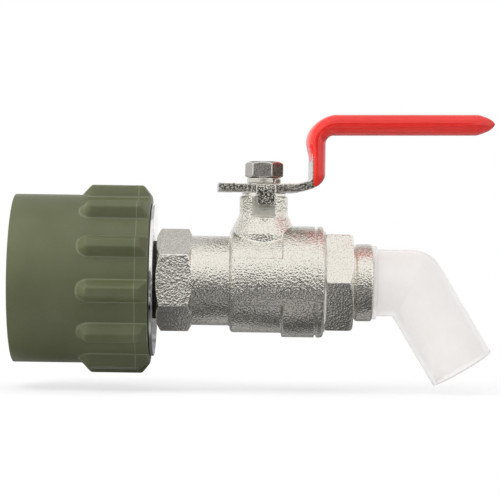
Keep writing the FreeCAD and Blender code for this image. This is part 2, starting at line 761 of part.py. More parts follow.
def lever():
    """The plated steel lever: tail, hub with its hole and front tab, and the bent arm."""
    solid = lever_blank().fuse(front_tab()).removeSplitter()
    half = TAB_WIDTH / 2
    reliefs = []
    for side in (-1, 1):
        x = BALL_X + side * (half + TAB_RELIEF / 2)
        notch = Part.makeCylinder(TAB_RELIEF / 2, LEVER_THICKNESS + 2,
                                  Vector(x, -HUB_RADIUS * 0.8, STEM_SHOULDER - 1), Z_AXIS)
        reliefs.append(notch)
    return lever_turned(solid.cut(stem_hole()).cut(reliefs))


def lever_grip():
    """The vinyl sleeve over the arm, pinched to a toe at its foot and to a flat tip."""
    middle = STEM_SHOULDER + LEVER_THICKNESS / 2
    rise = ARM_END_RISE / (ARM_END - ARM_CORNER)
    tip_start = ARM_TOP + rise * (GRIP_TIP_START - ARM_CORNER)
    tip_end = ARM_TOP + rise * (GRIP_TIP_END - ARM_CORNER)
    line = [(ARM_CORNER, GRIP_FOOT), (ARM_CORNER, ARM_TOP, UPPER_BEND), (GRIP_TIP_START, tip_start)]
    sleeve = swept_along_arm(line, GRIP_THICKNESS, GRIP_WIDTH, True)
    right = Vector(1, 0, 0)
    foot = arm_section(lever_point(ARM_CORNER, GRIP_FOOT), right, GRIP_THICKNESS, GRIP_WIDTH,
                       GRIP_THICKNESS / 2)
    toe = arm_section(lever_point(ARM_CORNER, GRIP_TOE), right, GRIP_TOE_THICKNESS,
                      GRIP_WIDTH, GRIP_TOE_THICKNESS / 2)
    along = Vector(1, 0, rise).normalize()
    across = along.cross(Vector(0, 1, 0))
    neck = arm_section(lever_point(GRIP_TIP_START, tip_start), across, GRIP_THICKNESS, GRIP_WIDTH,
                       GRIP_THICKNESS / 2)
    tip = arm_section(lever_point(GRIP_TIP_END, tip_end), across, GRIP_TIP_THICKNESS,
                      GRIP_TIP_WIDTH, GRIP_TIP_THICKNESS / 2)
    ends = [Part.makeLoft([foot, toe], True, True), Part.makeLoft([neck, tip], True, True)]
    solid = sleeve.fuse(ends).removeSplitter()
    solid = solid.cut(lever_blank(GRIP_PLAY))
    below = block(BALL_X, BALL_X + ARM_CORNER + GRIP_WIDTH, -GRIP_WIDTH, GRIP_WIDTH,
                  STEM_SHOULDER, middle)
    return lever_turned(biggest(solid.cut(below)))


def biggest(shape):
    """The largest solid of a shape."""
    return max(shape.Solids, key=lambda solid: solid.Volume)


def spring_washer():
    """The split spring washer under the lever nut."""
    solid = washer(SPRING_WASHER_OUTER, SPRING_WASHER_INNER, LEVER_TOP, LEVER_NUT_BOTTOM)
    half = SPRING_WASHER_GAP / 2
    gap = block(BALL_X, BALL_X + SPRING_WASHER_OUTER + 1, -half, half,
                LEVER_TOP - 1, LEVER_NUT_BOTTOM + 1)
    gap.rotate(Vector(BALL_X, 0, (LEVER_TOP + LEVER_NUT_BOTTOM) / 2), X_AXIS, 35)
    gap.rotate(Vector(BALL_X, 0, 0), Z_AXIS, -55)
    return solid.cut(gap)


def lever_nut():
    """The hexagon nut that holds the lever on the stem."""
    top = LEVER_NUT_BOTTOM + LEVER_NUT_HEIGHT
    corner = LEVER_NUT_FLATS / math.sqrt(3)
    wire = hexagon(LEVER_NUT_FLATS, False, lambda x, y: Vector(BALL_X + x, y, LEVER_NUT_BOTTOM))
    bar = Part.Face(wire).extrude(Vector(0, 0, LEVER_NUT_HEIGHT))
    slope = math.tan(math.radians(60))
    inner = corner - LEVER_NUT_CHAMFER * slope
    envelope = turned_on_stem([
        (STEM_THREAD_RADIUS + SHAFT_PLAY, LEVER_NUT_BOTTOM),
        (inner, LEVER_NUT_BOTTOM),
        (corner + 0.01, LEVER_NUT_BOTTOM + LEVER_NUT_CHAMFER),
        (corner + 0.01, top - LEVER_NUT_CHAMFER),
        (inner, top),
        (STEM_THREAD_RADIUS + SHAFT_PLAY, top),
    ])
    solid = bar.common(envelope)
    solid.rotate(Vector(BALL_X, 0, 0), Z_AXIS, LEVER_NUT_TURN)
    return solid


def connector_seal():
    """The flat seal between the valve body and the end connector."""
    return ring(CONNECTOR_SEAL_RADIUS, CONNECTOR_THREAD_RADIUS + SHAFT_PLAY, BODY_END_X, OUTLET_HEX_X)


def end_connector():
    """The screwed outlet end: seat pocket, thread, hexagon and the collar for the spout."""
    start = BALL_X + SEAT_NEAR + 0.9
    hexagon_part = pipe_hexagon(OUTLET_HEX_FLATS, OUTLET_HEX_X, OUTLET_HEX_X + OUTLET_HEX_LENGTH,
                                False, 0.6, 2.0)
    core = turned([
        (start, 0),
        (start, CONNECTOR_THREAD_RADIUS),
        (OUTLET_HEX_X + 1, CONNECTOR_THREAD_RADIUS),
        (OUTLET_HEX_X + 1, OUTLET_NECK_RADIUS),
        (COLLAR_X, OUTLET_NECK_RADIUS),
        (COLLAR_X, COLLAR_RADIUS, COLLAR_ROUND),
        (COLLAR_END_X, COLLAR_RADIUS, COLLAR_ROUND),
        (COLLAR_END_X, 0),
    ])
    spigot_floor = SPIGOT_END_X - RUNNING_GAP
    clip = SPOUT_X - CLIP_FROM_FLANGE
    half_clip = CLIP_WIRE + SHAFT_PLAY
    wall = SPIGOT_RADIUS + SHAFT_PLAY
    hollow = turned([
        (start - 1, 0),
        (start - 1, SEAT_OUTER + SEAL_PLAY),
        (BALL_X + SEAT_FAR, SEAT_OUTER + SEAL_PLAY),
        (BALL_X + SEAT_FAR, BORE_RADIUS),
        (spigot_floor, BORE_RADIUS),
        (spigot_floor, wall),
        (clip - half_clip, wall),
        (clip - half_clip, CLIP_RADIUS + half_clip),
        (clip + half_clip, CLIP_RADIUS + half_clip),
        (clip + half_clip, wall),
        (COLLAR_END_X + 1, wall),
        (COLLAR_END_X + 1, 0),
    ])
    return core.fuse(hexagon_part).removeSplitter().cut(hollow)


def spout_clip():
    """The open wire ring that keeps the spout in the outlet and lets it swivel."""
    circle = Part.makeTorus(CLIP_RADIUS, CLIP_WIRE, Vector(SPOUT_X - CLIP_FROM_FLANGE, 0, 0), X_AXIS)
    reach = CLIP_RADIUS + 2
    half = math.radians(CLIP_OPENING / 2)
    x0 = SPOUT_X - CLIP_FROM_FLANGE - 2
    points = [Vector(x0, 0, 0), Vector(x0, reach * math.sin(half) * 2, reach * math.cos(half) * 2),
              Vector(x0, -reach * math.sin(half) * 2, reach * math.cos(half) * 2), Vector(x0, 0, 0)]
    wedge = Part.Face(Part.makePolygon(points)).extrude(Vector(4, 0, 0))
    return circle.cut(wedge)


def spout_groove(middle, wire_radius, floor, play):
    """A ring-shaped cutter round the spout's spigot, about a station on the pipe."""
    half = wire_radius + play
    return ring(SPIGOT_RADIUS + 1, floor, middle - half, middle + half)


def leg_cylinder(radius, length, overrun=0.0):
    """A cylinder on the spout's slanted leg, from the bend."""
    down = math.radians(SPOUT_ANGLE)
    axis = Vector(math.cos(down), 0, -math.sin(down))
    return Part.makeCylinder(radius, length + overrun, Vector(BEND_X, 0, 0), axis)


def spout_elbow():
    """The plastic spout: spigot, flange, and a tube bent down towards the jar."""
    bore = SPOUT_RADIUS - SPOUT_WALL
    start = SPIGOT_END_X
    flange_end = SPOUT_X + SPOUT_FLANGE_THICKNESS
    bend = Vector(BEND_X, 0, 0)
    head = turned([
        (start, 0),
        (start, SPIGOT_RADIUS, 0.6),
        (SPOUT_X, SPIGOT_RADIUS),
        (SPOUT_X, SPOUT_FLANGE_RADIUS),
        (flange_end, SPOUT_FLANGE_RADIUS, 0.4),
        (flange_end, SPOUT_RADIUS),
        (BEND_X, SPOUT_RADIUS),
        (BEND_X, 0),
    ])
    outside = head.fuse([Part.makeSphere(SPOUT_RADIUS, bend), leg_cylinder(SPOUT_RADIUS, SPOUT_LEG)])
    way = turned([
        (start - 1, 0),
        (start - 1, SPIGOT_BORE),
        (SPOUT_X, SPIGOT_BORE),
        (flange_end + 1, bore),
        (BEND_X, bore),
        (BEND_X, 0),
    ])
    inside = way.fuse([Part.makeSphere(bore, bend), leg_cylinder(bore, SPOUT_LEG, 1)])
    solid = outside.removeSplitter().cut(inside.removeSplitter())
    floor = SPIGOT_RADIUS + SHAFT_PLAY - SEAL_PLAY - 2 * SPOUT_O_RING_WIRE
    cutters = [spout_groove(x, SPOUT_O_RING_WIRE, floor, SHAFT_PLAY) for x in SPOUT_O_RINGS_X]
    clip_floor = CLIP_RADIUS - CLIP_WIRE - SHAFT_PLAY
    clip_x = SPOUT_X - CLIP_FROM_FLANGE
    cutters.append(spout_groove(clip_x, CLIP_WIRE, clip_floor, 2 * SHAFT_PLAY))
    return solid.cut(cutters)


def spout_o_rings():
    """The two O-rings on the spout's spigot."""
    radius = SPIGOT_RADIUS + SHAFT_PLAY - SEAL_PLAY - SPOUT_O_RING_WIRE
    rings = []
    for x in SPOUT_O_RINGS_X:
        rings.append(Part.makeTorus(radius, SPOUT_O_RING_WIRE, Vector(x, 0, 0), X_AXIS))
    return Part.makeCompound(rings)


PIECES = {
    "coupling_nut": coupling_nut,
    "tank_gasket": tank_gasket,
    "tail_piece": tail_piece,
    "cover_disc": cover_disc,
    "neck_seal": neck_seal,
    "valve_body": valve_body,
    "inlet_seat": lambda: seat(-1),
    "outlet_seat": lambda: seat(1),
    "ball": ball,
    "stem": stem,
    "stem_thrust_washer": stem_thrust_washer,
    "stem_o_ring": stem_o_ring,
    "stem_packing": stem_packing,
    "packing_gland": packing_gland,
    "lever": lever,
    "lever_grip": lever_grip,
    "spring_washer": spring_washer,
    "lever_nut": lever_nut,
    "connector_seal": connector_seal,
    "end_connector": end_connector,
    "spout_clip": spout_clip,
    "spout_elbow": spout_elbow,
    "spout_o_rings": spout_o_rings,
}

os.makedirs("parts", exist_ok=True)
for name, make in PIECES.items():
    piece = make()
    piece.translate(Vector(-ORIGIN_IN_THREAD, 0, 0))
    piece.exportStep(f"parts/{name}.step")
    print(name, len(piece.Solids), piece.isValid(), round(piece.Volume, 1))
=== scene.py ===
"""Looks of the honey gate valve, over its fixed construction model.

Lengths are in metres. +X runs along the pipe towards the spout, +Z up along the stem, and
the photograph looks along +Y.
"""

import logging
import math
from dataclasses import dataclass
from enum import Enum
from typing import Dict, List, Optional, Sequence, Tuple, Union

import bpy
import numpy as np
from mathutils import Matrix, Vector


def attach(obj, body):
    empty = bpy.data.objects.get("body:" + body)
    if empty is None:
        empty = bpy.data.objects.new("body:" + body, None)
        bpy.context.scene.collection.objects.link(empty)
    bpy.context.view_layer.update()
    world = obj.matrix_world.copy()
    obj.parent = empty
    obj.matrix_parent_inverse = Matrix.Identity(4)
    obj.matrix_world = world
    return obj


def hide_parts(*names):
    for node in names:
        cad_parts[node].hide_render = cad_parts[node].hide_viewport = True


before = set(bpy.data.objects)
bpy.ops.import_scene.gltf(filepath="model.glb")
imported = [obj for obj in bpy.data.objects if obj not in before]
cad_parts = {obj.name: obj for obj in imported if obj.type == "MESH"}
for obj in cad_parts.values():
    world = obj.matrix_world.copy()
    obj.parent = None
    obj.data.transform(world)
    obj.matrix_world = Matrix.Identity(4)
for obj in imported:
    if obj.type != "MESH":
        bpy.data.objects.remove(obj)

MM = 0.001
STEM_X = 97.6           # the stem's axis along the pipe, in millimetres
SPOUT_BEND = 158.2      # where the spout bends, in millimetres
SPOUT_ANGLE_DEG = 58.7  # how far the spout's leg points down
SPOUT_LEG = 40.4        # the leg's length from the bend, in millimetres
EDGE_GAIN = 14.0        # how fast an edge's mask rises as its rounded normal turns away
BEVEL_SAMPLES = 6
CELL_SHARE = 0.55       # the part of the metal's grain that comes from cells, not from noise
WHITE = (1.0, 1.0, 1.0, 1.0)

log = logging.getLogger("honey_valve")
Colour = Tuple[float, float, float]


# Meshes


def smooth_min(a: np.ndarray, b: Union[float, np.ndarray], reach: float) -> np.ndarray:
    """The smaller of two values, with the corner between them rounded.

    Formula: min(a, b) less (reach - |a - b|) squared over 4 reach, where |a - b| is below reach.

    Args:
        a: First values.
        b: Second values, or one number.
        reach: How far apart the values are where the rounding starts.

    Returns:
        The rounded minimum, element by element.
    """
    overlap = np.maximum(reach - np.abs(a - b), 0.0)
    return np.minimum(a, b) - overlap * overlap / (4.0 * reach)


def smooth_max(a: np.ndarray, b: Union[float, np.ndarray], reach: float) -> np.ndarray:
    """The larger of two values, with the corner between them rounded as in smooth_min."""
    return -smooth_min(-a, -b, reach)


def ring_surface(name: str, rings: np.ndarray, wrap: bool, crease_deg: float) -> bpy.types.Object:
    """Makes an object from rings of points, each ring joined to the next by quads.

    The faces are turned outwards: the solid's volume is summed over its quads as the triple
    product of their corners, and the order is reversed where that sum is negative.

    Args:
        name: Name of the object and its mesh.
        rings: Array of shape (rings, points in a ring, 3), in metres.
        wrap: True joins the last ring to the first; False closes both ends with a polygon.
        crease_deg: Edges whose faces meet at more than this angle stay sharp.

    Returns:
        The new object, linked to the scene.
    """
    count, around, _ = rings.shape
    last = count if wrap else count - 1
    i, j = np.meshgrid(np.arange(last), np.arange(around), indexing="ij")
    here, ahead = i * around, ((i + 1) % count) * around
    beside = (j + 1) % around
    quads = np.stack([here + j, here + beside, ahead + beside, ahead + j], axis=-1).reshape(-1, 4)
    points = rings.reshape(-1, 3)
    a, b, c, d = (points[quads[:, k]] for k in range(4))
    volume = np.einsum("ij,ij->i", a, np.cross(b, c) + np.cross(c, d)).sum()
    faces = quads.tolist()
    if not wrap:
        faces.append(list(range(around))[::-1])
        faces.append(list(range((count - 1) * around, count * around)))
    if volume < 0:
        faces = [face[::-1] for face in faces]
    mesh = bpy.data.meshes.new(name)
    mesh.from_pydata(points.tolist(), [], faces)
    mesh.shade_smooth()
    mesh.set_sharp_from_angle(angle=math.radians(crease_deg))
    obj = bpy.data.objects.new(name, mesh)
    bpy.context.scene.collection.objects.link(obj)
    return obj


def place_piece(obj: bpy.types.Object, body: str, node: str,
                material: bpy.types.Material) -> None:
    """Lets a new piece ride on a body in place of a construction node, in its material.

    Args:
        obj: The new piece.
        body: Name of the body that it moves with.
        node: Name of the construction node that it stands for.
        material: The finish.
    """
    obj.data.materials.append(material)
    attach(obj, body)
    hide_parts(node)
    log.info("%s: %d faces, on body %s", obj.name, len(obj.data.polygons), body)


def dress_node(node: str, material: bpy.types.Material) -> None:
    """Gives a construction node its finish."""
    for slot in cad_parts[node].material_slots:
        slot.material = material
    log.info("%s: finish %s", node, material.name)


# Shader signals


class Signal:
    """One output of a shader's nodes; the operators add Math nodes."""

    def __init__(self, graph: "NodeTree", socket: bpy.types.NodeSocket) -> None:
        """Keeps the graph and the socket."""
        self.graph = graph
        self.socket = socket

    def __add__(self, other: "Value") -> "Signal":
        """Sum."""
        return self.graph.math("ADD", self, other)

    def __radd__(self, other: "Value") -> "Signal":
        """Sum, with the number first."""
        return self.graph.math("ADD", other, self)

    def __sub__(self, other: "Value") -> "Signal":
        """Difference."""
        return self.graph.math("SUBTRACT", self, other)

    def __rsub__(self, other: "Value") -> "Signal":
        """Difference, with the number first."""
        return self.graph.math("SUBTRACT", other, self)

    def __mul__(self, other: "Value") -> "Signal":
        """Product."""
        return self.graph.math("MULTIPLY", self, other)

    def __rmul__(self, other: "Value") -> "Signal":
        """Product, with the number first."""
        return self.graph.math("MULTIPLY", other, self)

    def __abs__(self) -> "Signal":
        """Absolute value."""
        return self.graph.math("ABSOLUTE", self)

    def step(self, low: float, high: float) -> "Signal":
        """A smooth step: 0 below low, 1 above high."""
        node = self.graph.node("MapRange", {"interpolation_type": "SMOOTHSTEP"},
                               {"Value": self, "From Min": low, "From Max": high})
        return Signal(self.graph, node.outputs["Result"])

    def smaller(self, other: "Value") -> "Signal":
        """The smaller of the two."""
        return self.graph.math("MINIMUM", self, other)

    def larger(self, other: "Value") -> "Signal":
        """The larger of the two."""
        return self.graph.math("MAXIMUM", self, other)


Value = Union[Signal, float]


class NodeTree:
    """The node tree of a material or a world."""

    def __init__(self, block: Union[bpy.types.Material, bpy.types.World], output: str) -> None:
        """Empties the tree and gives it an output.

        Args:
            block: The material or world.
            output: The output node's type without its ShaderNode prefix.
        """
        block.use_nodes = True
        self.tree = block.node_tree
        self.tree.nodes.clear()
        self.output = self.node(output, {}, {})

    def node(self, kind: str, settings: Dict[str, object],
             inputs: Dict[Union[str, int], object]) -> bpy.types.Node:
        """Adds a node.

        Args:
            kind: The node's type without its ShaderNode prefix.
            settings: Properties of the node, set before its sockets.
            inputs: Sockets by name or place, with a number, tuple, signal or socket for each.

        Returns:
            The node.
        """
        node = self.tree.nodes.new("ShaderNode" + kind)
        for key, setting in settings.items():
            setattr(node, key, setting)
        for key, value in inputs.items():
            if isinstance(value, Signal):
                value = value.socket
            if isinstance(value, bpy.types.NodeSocket):
                self.tree.links.new(value, node.inputs[key])
            else:
                node.inputs[key].default_value = value
        return node

    def math(self, operation: str, *values: Value) -> Signal:
        """Adds a Math node and returns its result."""
        inputs = dict(enumerate(values))
        return Signal(self, self.node("Math", {"operation": operation}, inputs).outputs["Value"])

    def seen(self) -> Signal:
        """1 for rays of the camera, of gloss and of glass, and 0 for all others."""
        path = self.node("LightPath", {}, {})
        camera, gloss, glass = (Signal(self, path.outputs[f"Is {kind} Ray"])
                                for kind in ("Camera", "Glossy", "Transmission"))
        return camera.larger(gloss).larger(glass)

    def show(self, shader: bpy.types.Node) -> None:
        """Links a shader to the output."""
        self.tree.links.new(shader.outputs[0], self.output.inputs["Surface"])


class Graph(NodeTree):
    """The node tree of one material, with Object coordinates in millimetres."""

    def __init__(self, name: str) -> None:
        """Starts an empty material.

        Args:
            name: The material's name.
        """
        self.material = bpy.data.materials.new(name)
        super().__init__(self.material, "OutputMaterial")
        where = self.node("TexCoord", {}, {}).outputs["Object"]
        scaled = self.node("VectorMath", {"operation": "SCALE"}, {0: where, "Scale": 1.0 / MM})
        self.mm = Signal(self, scaled.outputs["Vector"])

    def axis(self, name: str) -> Signal:
        """One Object coordinate in millimetres; name is X, Y or Z."""
        return Signal(self, self.node("SeparateXYZ", {}, {0: self.mm}).outputs[name])

    def stretched(self, x: float, y: float, z: float) -> Signal:
        """The Object coordinates in millimetres, each times its factor."""
        node = self.node("VectorMath", {"operation": "MULTIPLY"}, {0: self.mm, 1: (x, y, z)})
        return Signal(self, node.outputs["Vector"])

    def noise(self, size: float, detail: float = 2.0, where: Optional[Signal] = None) -> Signal:
        """Soft noise about 0.5.

        Args:
            size: Size of its patches, in millimetres.
            detail: Number of finer layers.
            where: Coordinates to read; the Object coordinates if none are given.

        Returns:
            The noise.
        """
        node = self.node("TexNoise", {}, {"Vector": where or self.mm, "Scale": 1.0 / size,
                                          "Detail": detail})
        return Signal(self, node.outputs[0])

    def cells(self, size: float, where: Optional[Signal] = None) -> Signal:
        """Distance to the nearest of scattered points, in cell sizes."""
        node = self.node("TexVoronoi", {}, {"Vector": where or self.mm, "Scale": 1.0 / size})
        return Signal(self, node.outputs["Distance"])

    def mix(self, share: Value, first: object, second: object) -> Signal:
        """A colour between two colours.

        Args:
            share: 0 for the first, 1 for the second.
            first: A colour or a signal.
            second: A colour or a signal.

        Returns:
            The mixed colour.
        """
        full = [(*c, 1.0) if isinstance(c, tuple) else c for c in (first, second)]
        node = self.node("Mix", {"data_type": "RGBA"}, {0: share, 6: full[0], 7: full[1]})
        return Signal(self, node.outputs[2])

    def edge(self, radius: float) -> Signal:
        """How near a point is to a sharp edge, 0 on plain surfaces and about 1 on the edge."""
        rounded = self.rounded(radius)
        true = self.node("NewGeometry", {}, {}).outputs["Normal"]
        dot = self.node("VectorMath", {"operation": "DOT_PRODUCT"}, {0: rounded, 1: true})
        return ((1.0 - Signal(self, dot.outputs["Value"])) * EDGE_GAIN).smaller(1.0)

    def rounded(self, radius: float) -> Signal:
        """The normal with edges rounded to a radius in millimetres."""
        node = self.node("Bevel", {"samples": BEVEL_SAMPLES}, {"Radius": radius * MM})
        return Signal(self, node.outputs["Normal"])

    def bump(self, height: Signal, depth: float, normal: Optional[Signal] = None) -> Signal:
        """A normal disturbed by a height.

        Args:
            height: The height, about 0 to 1.
            depth: The depth of a height of 1, in millimetres.
            normal: The normal that it starts from.

        Returns:
            The disturbed normal.
        """
        inputs: Dict[Union[str, int], object] = {"Height": height, "Distance": depth * MM}
        if normal is not None:
            inputs["Normal"] = normal
        return Signal(self, self.node("Bump", {}, inputs).outputs["Normal"])

    def finish(self, **sockets: object) -> bpy.types.Material:
        """Adds the shader and links it to the output.

        Args:
            sockets: Its sockets, named with underscores for spaces.

        Returns:
            The finished material.
        """
        named = {}
        for key, value in sockets.items():
            plain = isinstance(value, tuple) and key == "Base_Color"
            named[key.replace("_", " ")] = (*value, 1.0) if plain else value
        self.show(self.node("BsdfPrincipled", {}, named))
        return self.material


# Finishes


@dataclass(frozen=True)
class OlivePlastic:
    """Moulded olive-green plastic of the tank nut, satin, with a fine moulded grain."""

    tone: Colour = (0.086, 0.096, 0.044)
    pale: Colour = (0.102, 0.111, 0.056)
    # Painted highlight: a pale tone, its share, and the station of a line across the ribs and
    # valleys.
    highlight_tone: Colour = (0.2, 0.21, 0.14)
    highlight_share: float = 0.6
    highlight_line_x: float = 47.2
    grain: float = 0.35

    def material(self) -> bpy.types.Material:
        """Drifts between two tones, with painted highlight lines across the ribs and along the
        ribs' feet.
        """
        g = Graph("olive_plastic")
        drift = g.noise(14.0, 3.0)
        specks = g.noise(1.1, 4.0)
        colour = g.mix((drift * 0.7 + specks * 0.3).step(0.3, 0.7), self.tone, self.pale)
        height = g.noise(self.grain, 2.0) * 0.35 + g.noise(6.0, 1.0) * 0.65
        # Painted highlight: pale lines across the ribs at one station and along the ribs' feet.
        line = 1.0 - abs(g.axis("X") - self.highlight_line_x).step(0.08, 0.3)
        foot = Signal(g, g.node("Attribute", {"attribute_name": "foot"}, {}).outputs["Fac"])
        colour = g.mix(line.larger(foot) * self.highlight_share, colour, self.highlight_tone)
        return g.finish(Base_Color=colour, Roughness=0.34 + specks * 0.16,
                        Normal=g.bump(height, 0.06), IOR=1.45)


class Surface(Enum):
    """How a plated piece was made."""

    CAST = "cast"
    TURNED = "turned"
    PRESSED = "pressed"
    SMOOTH = "smooth"


@dataclass(frozen=True)
class MilledFlat:
    """The flat milled on the front of the body's tower. Lengths are in millimetres."""

    front: float = -8.7
    bottom: float = 25.7
    half_width: float = 4.5

    def mask(self, g: Graph) -> Signal:
        """1 on the flat and 0 elsewhere, with narrow soft limits."""
        on_front = 1.0 - abs(g.axis("Y") - self.front).step(0.04, 0.1)
        above = g.axis("Z").step(self.bottom, self.bottom + 0.4)
        beside = abs(g.axis("X") - STEM_X).step(self.half_width, self.half_width + 0.2)
        return on_front * above * (1.0 - beside)


@dataclass(frozen=True)
class Plating:
    """Bright nickel plating over one kind of surface. Lengths are in millimetres."""

    name: str
    surface: Surface
    tone: Colour = (0.84, 0.81, 0.735)
    # The darker tone: random duller patches on turned and smooth metal, painted shade in the pits
    # and hollows of cast and pressed metal.
    dull_and_shade: Colour = (0.5, 0.47, 0.41)
    worn: Colour = (0.97, 0.95, 0.9)
    grain: float = 0.55
    depth: float = 0.36
    roughness: float = 0.07
    edge: float = 0.8
    rounding: float = 0.9

    def material(self) -> bpy.types.Material:
        """Grain by the way of making, a darker tone in random patches and as painted shade in pits
        and hollows, and bright worn, rounded edges.
        """
        g = Graph(self.name)
        height, shade_and_dullness, blur = self.relief(g)
        # The darker tone is partly random duller patches and partly painted shade.
        colour = g.mix(shade_and_dullness, self.tone, self.dull_and_shade)
        colour = g.mix(g.edge(self.edge), colour, self.worn)
        return g.finish(Base_Color=colour, Metallic=1.0, Roughness=self.roughness + blur,
                        Normal=g.bump(height, self.depth, g.rounded(self.rounding)))

    def relief(self, g: Graph) -> Tuple[Signal, Signal, Signal]:
        """The relief's height, the darker tone's share, which is partly painted shade, and the
        gloss's blur.
        """
        coarse = g.noise(self.grain, 1.0)
        if self.surface is Surface.TURNED:
            fine = g.noise(self.grain * 0.5, 1.0)
            lines = g.noise(0.35, 2.0, g.stretched(1.0, 0.02, 0.02))
            dull_and_shade = coarse.step(0.45, 0.7) * 0.35
            return lines * 0.5 + fine * 0.5, dull_and_shade, dull_and_shade * 0.3
        height = g.cells(self.grain * 1.5) * CELL_SHARE + coarse * (1.0 - CELL_SHARE)
        if self.surface is Surface.CAST:
            return self.cast_relief(g, height)
        if self.surface is Surface.SMOOTH:
            patches = g.noise(2.5).step(0.4, 0.7)
            return height, patches * 0.3, patches * 0.08
        level = self.level(g)
        # Painted shade: a near-black tone in the grain's hollows, weaker on faces that point up or
        # down.
        dull_and_shade = height.step(0.41, 0.51) * (0.92 - level * 0.62)
        return height * (1.0 - level * 0.8), dull_and_shade, level * 0.12

    def level(self, g: Graph) -> Signal:
        """1 on level faces, which are rolled smooth, and 0 on the sheared edges."""
        normal = g.node("NewGeometry", {}, {}).outputs["Normal"]
        up = Signal(g, g.node("SeparateXYZ", {}, {0: normal}).outputs["Z"])
        return abs(up).step(0.5, 0.8)

    def cast_relief(self, g: Graph, height: Signal) -> Tuple[Signal, Signal, Signal]:
        """A blasted casting, but smoother and duller where the tower's front is milled."""
        milled = MilledFlat().mask(g)
        streaks = g.noise(0.5, 2.0, g.stretched(1.0, 1.0, 0.08))
        height = height * (1.0 - milled) + streaks * milled * 0.25
        # Painted shade: dark flecks stand in for the shade in the casting's pits; none on the
        # milled flat.
        specks = (1.0 - g.noise(self.grain * 0.8, 1.0).step(0.34, 0.52)) * (1.0 - milled)
        return height, specks * 0.4, milled * 0.55


@dataclass(frozen=True)
class RedVinyl:
    """Glossy dipped vinyl of the grip."""

    tone: Colour = (0.75, 0.012, 0.004)
    deep: Colour = (0.70, 0.008, 0.003)

    def material(self) -> bpy.types.Material:
        """A clear gloss over a red that drifts a little, with the slow waves of a dip."""
        g = Graph("red_vinyl")
        waves = g.noise(5.0, 2.0)
        colour = g.mix(waves.step(0.3, 0.7), self.tone, self.deep)
        return g.finish(Base_Color=colour, Roughness=0.4 + g.noise(1.5) * 0.1,
                        Coat_Weight=0.42, Coat_Roughness=0.06, Coat_IOR=1.95, IOR=1.35,
                        Normal=g.bump(waves * 0.95 + g.noise(1.2) * 0.05, 0.08))


@dataclass(frozen=True)
class MilkyPlastic:
    """Milky, see-through plastic of the spout, with painted shade on the rim at the leg's end."""

    tone: Colour = (0.985, 0.955, 0.925)
    cloud: Colour = (0.96, 0.925, 0.89)
    # Painted shade of the rim at the leg's end.
    rim: Colour = (0.66, 0.6, 0.58)

    def down_leg(self, g: Graph) -> Signal:
        """The distance down the leg from the bend, in millimetres."""
        down = math.radians(SPOUT_ANGLE_DEG)
        return (g.axis("X") - SPOUT_BEND) * math.cos(down) - g.axis("Z") * math.sin(down)

    def material(self) -> bpy.types.Material:
        """Light scatters inside the wall, and some passes straight through it."""
        g = Graph("milky_plastic")
        cloud = g.noise(7.0, 3.0)
        colour = g.mix(cloud.step(0.3, 0.7), self.tone, self.cloud)
        # Painted shade: the rim at the leg's end is darker.
        rim_shade_share = self.down_leg(g).step(SPOUT_LEG - 1.0, SPOUT_LEG - 0.6)
        colour = g.mix(rim_shade_share, colour, self.rim)
        return g.finish(Base_Color=colour, Roughness=0.22 + g.noise(0.9) * 0.06, Alpha=0.34,
                        IOR=1.15, Subsurface_Weight=0.4,
                        Subsurface_Radius=(1.0, 1.0, 0.95), Subsurface_Scale=0.006,
                        Normal=g.bump(g.noise(0.6), 0.01))


@dataclass(frozen=True)
class SoftSeal:
    """A seal of black rubber or white slippery plastic."""

    name: str
    tone: Colour
    worn: Colour
    roughness: float

    def material(self) -> bpy.types.Material:
        """Two close tones in small patches, with a fine grain."""
        g = Graph(self.name)
        patches = g.noise(1.6, 4.0)
        return g.finish(Base_Color=g.mix(patches.step(0.35, 0.7), self.tone, self.worn),
                        Roughness=self.roughness + patches * 0.1,
                        Normal=g.bump(g.noise(0.4), 0.02))


# Sub-assemblies


